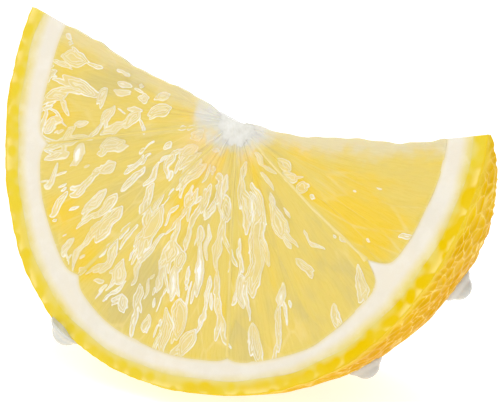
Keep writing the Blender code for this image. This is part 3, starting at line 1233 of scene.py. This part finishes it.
def wall_material():
    colours = bpy.context.scene.yuzu_colours
    make = MaterialMaker("segment wall")
    streak = make.noise(make.flow((60.0, 0.5, 3.0)), 1.0, 4.0)
    plain = make.times(make.value("plain"), make.range(streak, 0.35, 0.7, 1.0, 0.4))
    colour = make.mix(plain, colours.flesh, colours.wall)
    # Paler at the core, and a painted glow along the thin top edge
    colour = make.mix(make.value("milk"), colour, colours.core)
    normal = make.bump(streak, 0.3, 0.06 * MM)
    make.settings(
        Base_Color=colour,
        Roughness=make.range(streak, 0.3, 0.7, 0.25, 0.45),
        Normal=normal,
        Coat_Weight=0.3,
        Coat_Roughness=0.15,
    )
    return make.material


def build_core():
    """The white spongy core, with fingers that run out along the sacs."""
    sizes = bpy.context.scene.yuzu_sizes
    piece = add_slab("core", columns=260, rows=30, layers=8)
    shares = vertex_places(piece)
    turn = turn_at(shares[:, 0])
    finger = layered_noise(as_rows(turn * 6.0 * MM, 0.0, 0.0), 2.2 * MM, sizes.seed + 120)
    reach = sizes.core_radius * (0.8 + 0.45 * finger)
    radius = 0.02 * MM + reach * shares[:, 1]
    depth = radius * back_cut_slope(turn) + TOP_EDGE_WIDTH
    turned = turn - edge_sag(turn, radius)
    places = CORE + radial(turned) * radius[:, None]
    places = places + inward(depth * shares[:, 2])
    froth = layered_noise(places, 0.8 * MM, sizes.seed + 124) - 0.5
    crown = (1.0 - shares[:, 1] ** 2) * 0.26 * MM - 0.08 * MM + froth * 0.30 * MM
    in_front, at_back = near_cuts(shares[:, 2], 0.3)
    move_vertices(piece, places + inward(crown * (at_back - in_front)))
    keep_flow(piece, turn, radius, shares[:, 2])
    keep_values(piece, outer=shares[:, 1])
    finish_piece(piece, core_material(), "yuzu_wedge")


def core_material():
    colours = bpy.context.scene.yuzu_colours
    make = MaterialMaker("core")
    place = make.place()
    froth = make.noise(place, 900.0, 4.0, 0.65)
    streak = make.noise(make.flow((5.0, 0.5, 2.0)), 1.0, 3.0)
    foam = make.range(froth, 0.35, 0.65, 0.0, 0.5)
    colour = make.mix(foam, colours.core, (0.93, 0.93, 0.90))
    # Faint pale streaks, in the sheen films' cream
    colour = make.mix(make.range(streak, 0.5, 0.75, 0.0, 0.12), colour, colours.film)
    colour = make.mix(make.range(make.value("outer"), 0.5, 0.95), colour, colours.core)
    normal = make.bump(froth, 0.5, 0.10 * MM)
    make.settings(
        Base_Color=colour,
        Roughness=make.range(froth, 0.3, 0.7, 0.25, 0.5),
        Normal=normal,
        Subsurface_Weight=0.15,
        Subsurface_Radius=(1.0, 0.95, 0.85),
        Subsurface_Scale=0.0006,
        Coat_Weight=0.3,
        Coat_Roughness=0.2,
    )
    return make.material


# ---- Drops ----


def build_drop(name, node, turn, back, half_width, height, material):
    """One clear drop that clings to the peel, spreading out into a thin skirt."""
    deselect_all()
    bpy.ops.mesh.primitive_uv_sphere_add(segments=64, ring_count=48, radius=1.0)
    piece = bpy.context.object
    piece.name = name
    piece.data.name = name
    shape = vertex_places(piece)
    out = radial(np.array([turn]))[0] * math.cos(back) + INTO_THE_FRUIT * math.sin(back)
    along = across(turn)
    sideways = np.cross(out, along)
    # A bell over the skin, and a shallow sole under it
    from_middle = np.linalg.norm(shape[:, :2], axis=1).clip(0.0, 1.0)
    bell = (height + DROP_SINK) * (1.0 - from_middle**2.3) ** 0.62
    level = np.where(shape[:, 2] > 0.0, bell, -DROP_SOLE * (1.0 - from_middle**4))
    skirt = 1.0 + 0.25 * smooth_step(from_middle, 0.86, 1.0)
    flat = (shape[:, :2] * skirt[:, None]) @ np.stack([along, sideways])
    base = out * (rim_radius(turn) - DROP_SINK)
    points = base + flat * half_width + np.multiply.outer(level, out)
    # The sole stays just under the skin, which curves away below it.
    own_turn = np.arctan2(points @ ACROSS, -(points @ UP_THE_FACE))
    length = np.linalg.norm(points, axis=1)
    deepest = rim_radius(own_turn) - DROP_DEPTH
    points = points * (np.maximum(length, deepest) / length)[:, None]
    move_vertices(piece, points + CORE)
    finish_piece(piece, material, node)


def juice_material():
    make = MaterialMaker("juice drop")
    place = make.place()
    haze = make.noise(place, 300.0, 2.0)
    colour = make.mix(make.range(haze, 0.3, 0.7), (0.84, 0.86, 0.82), (0.76, 0.78, 0.74))
    make.settings(
        Base_Color=colour,
        Roughness=0.15,
        Transmission_Weight=0.35,
        IOR=1.34,
        Normal=make.bump(haze, 0.1, 0.05 * MM),
    )
    return make.material


# ---- Operators ----


class YUZU_OT_peel(bpy.types.Operator):
    """Build the dimpled peel with its zest"""

    bl_idname = "yuzu.peel"
    bl_label = "Peel"

    def execute(self, context):
        build_peel()
        return {"FINISHED"}


class YUZU_OT_pith(bpy.types.Operator):
    """Build the pith under the peel"""

    bl_idname = "yuzu.pith"
    bl_label = "Pith"

    def execute(self, context):
        build_pith()
        return {"FINISHED"}


class YUZU_OT_flesh(bpy.types.Operator):
    """Build the segments of flesh with their juice sacs"""

    bl_idname = "yuzu.flesh"
    bl_label = "Flesh"

    def execute(self, context):
        seed = context.scene.yuzu_sizes.seed
        sheen_films = (SheenFilms(seed + 200, LARGE_SHEEN_FILMS, SMALL_SHEEN_FILMS), SheenFilms(seed + 300, (), BACK_SHEEN_FILMS))
        material = flesh_material()
        bounds = (-LEFT_TIP_TURN, *WALL_TURNS, RIGHT_TIP_TURN)
        for number, (left, right) in enumerate(zip(bounds, bounds[1:]), start=1):
            build_segment(number, left, right, sheen_films, material)
        return {"FINISHED"}


class YUZU_OT_walls(bpy.types.Operator):
    """Build the walls between the segments"""

    bl_idname = "yuzu.walls"
    bl_label = "Segment Walls"

    def execute(self, context):
        material = wall_material()
        for number, (wall, shows) in enumerate(zip(WALL_TURNS, WALL_SHOWS), start=1):
            build_wall(number, wall, shows, material)
        return {"FINISHED"}


class YUZU_OT_core(bpy.types.Operator):
    """Build the white core"""

    bl_idname = "yuzu.core"
    bl_label = "Core"

    def execute(self, context):
        build_core()
        return {"FINISHED"}


class YUZU_OT_drops(bpy.types.Operator):
    """Build the drops of juice that cling to the peel"""

    bl_idname = "yuzu.drops"
    bl_label = "Juice Drops"

    def execute(self, context):
        material = juice_material()
        for node, measures in DROPS.items():
            build_drop(node.replace("juice_drop", "drop"), node, *measures, material)
        return {"FINISHED"}


class YUZU_OT_stage(bpy.types.Operator):
    """Build the floor, the lights and the camera"""

    bl_idname = "yuzu.stage"
    bl_label = "Stage"

    def execute(self, context):
        build_floor()
        build_lights()
        build_camera()
        return {"FINISHED"}


def build_floor():
    deselect_all()
    bpy.ops.mesh.primitive_plane_add(size=FLOOR_SIZE, location=(0.0, 0.0, 0.0))
    floor = bpy.context.object
    floor.name = "floor"
    make = MaterialMaker("floor")
    mottle = make.range(make.noise(make.place(), 3.0, 2.0), 0.3, 0.7, 0.0, 0.05)
    make.settings(
        Base_Color=make.mix(mottle, bpy.context.scene.yuzu_colours.floor, (0.9, 0.9, 0.9)),
        Roughness=0.6,
        Specular_IOR_Level=0.2,
        Emission_Color=(1.0, 1.0, 1.0),
        Emission_Strength=FLOOR_GLOW,
    )
    floor.data.materials.append(make.material)


def direction(turn, height):
    """The way to a place, from straight in front, round to the right and up."""
    level = math.cos(height)
    return Vector((math.sin(turn) * level, -math.cos(turn) * level, math.sin(height)))


def add_light(name, power, azimuth, elevation, distance, size):
    """A square soft light that faces the wedge."""
    away = direction(math.radians(azimuth), math.radians(elevation))
    bpy.ops.object.light_add(type="AREA", location=away * distance + LIT_PLACE)
    light = bpy.context.object
    light.name = name
    light.data.shape = "SQUARE"
    light.data.size = size
    light.data.energy = power
    light.rotation_mode = "QUATERNION"
    light.rotation_quaternion = away.to_track_quat("Z", "Y")


def build_lights():
    stage = bpy.context.scene.yuzu_stage
    world = bpy.data.worlds.new("white room")
    world.use_nodes = True
    background = world.node_tree.nodes["Background"]
    background.inputs["Color"].default_value = (1.0, 1.0, 1.0, 1.0)
    background.inputs["Strength"].default_value = stage.sky
    bpy.context.scene.world = world
    for name, placing in LIGHTS.items():
        add_light(name + " light", getattr(stage, name), *placing)


def build_camera():
    stage = bpy.context.scene.yuzu_stage
    away = direction(stage.turn, stage.height)
    facing = away.to_track_quat("Z", "Y")
    shift = facing @ Vector(CAMERA_SHIFT)
    bpy.ops.object.camera_add(location=Vector(CORE) + away * stage.distance + shift)
    camera = bpy.context.object
    camera.name = "camera"
    camera.rotation_mode = "QUATERNION"
    camera.rotation_quaternion = facing
    camera.data.lens = stage.lens
    camera.data.sensor_width = 36.0
    camera.data.clip_start = 0.01
    camera.data.clip_end = 20.0
    bpy.context.scene.camera = camera
    bpy.context.scene.view_settings.view_transform = "Standard"


class YUZU_PT_panel(bpy.types.Panel):
    """Lists the wedge's sizes, colours and pieces"""

    bl_label = "Yuzu Wedge"
    bl_idname = "YUZU_PT_panel"
    bl_space_type = "VIEW_3D"
    bl_region_type = "UI"
    bl_category = "Yuzu"

    def draw(self, context):
        layout = self.layout
        for title, group in (
            ("Sizes", context.scene.yuzu_sizes),
            ("Colours", context.scene.yuzu_colours),
            ("Stage", context.scene.yuzu_stage),
        ):
            box = layout.box()
            box.label(text=title)
            for name in group.__annotations__:
                box.prop(group, name)
        for operator in OPERATORS:
            layout.operator(operator.bl_idname)


GROUPS = {"yuzu_sizes": YuzuSizes, "yuzu_colours": YuzuColours, "yuzu_stage": YuzuStage}
OPERATORS = (
    YUZU_OT_peel,
    YUZU_OT_pith,
    YUZU_OT_flesh,
    YUZU_OT_walls,
    YUZU_OT_core,
    YUZU_OT_drops,
    YUZU_OT_stage,
)


def register():
    for name, group in GROUPS.items():
        bpy.utils.register_class(group)
        setattr(bpy.types.Scene, name, PointerProperty(type=group))
    for operator in OPERATORS:
        bpy.utils.register_class(operator)
    bpy.utils.register_class(YUZU_PT_panel)


def unregister():
    bpy.utils.unregister_class(YUZU_PT_panel)
    for operator in reversed(OPERATORS):
        bpy.utils.unregister_class(operator)
    for name, group in GROUPS.items():
        delattr(bpy.types.Scene, name)
        bpy.utils.unregister_class(group)


def main():
    register()
    bpy.ops.yuzu.peel()
    bpy.ops.yuzu.pith()
    bpy.ops.yuzu.flesh()
    bpy.ops.yuzu.walls()
    bpy.ops.yuzu.core()
    bpy.ops.yuzu.drops()
    bpy.ops.yuzu.stage()


if __name__ == "__main__":
    main()
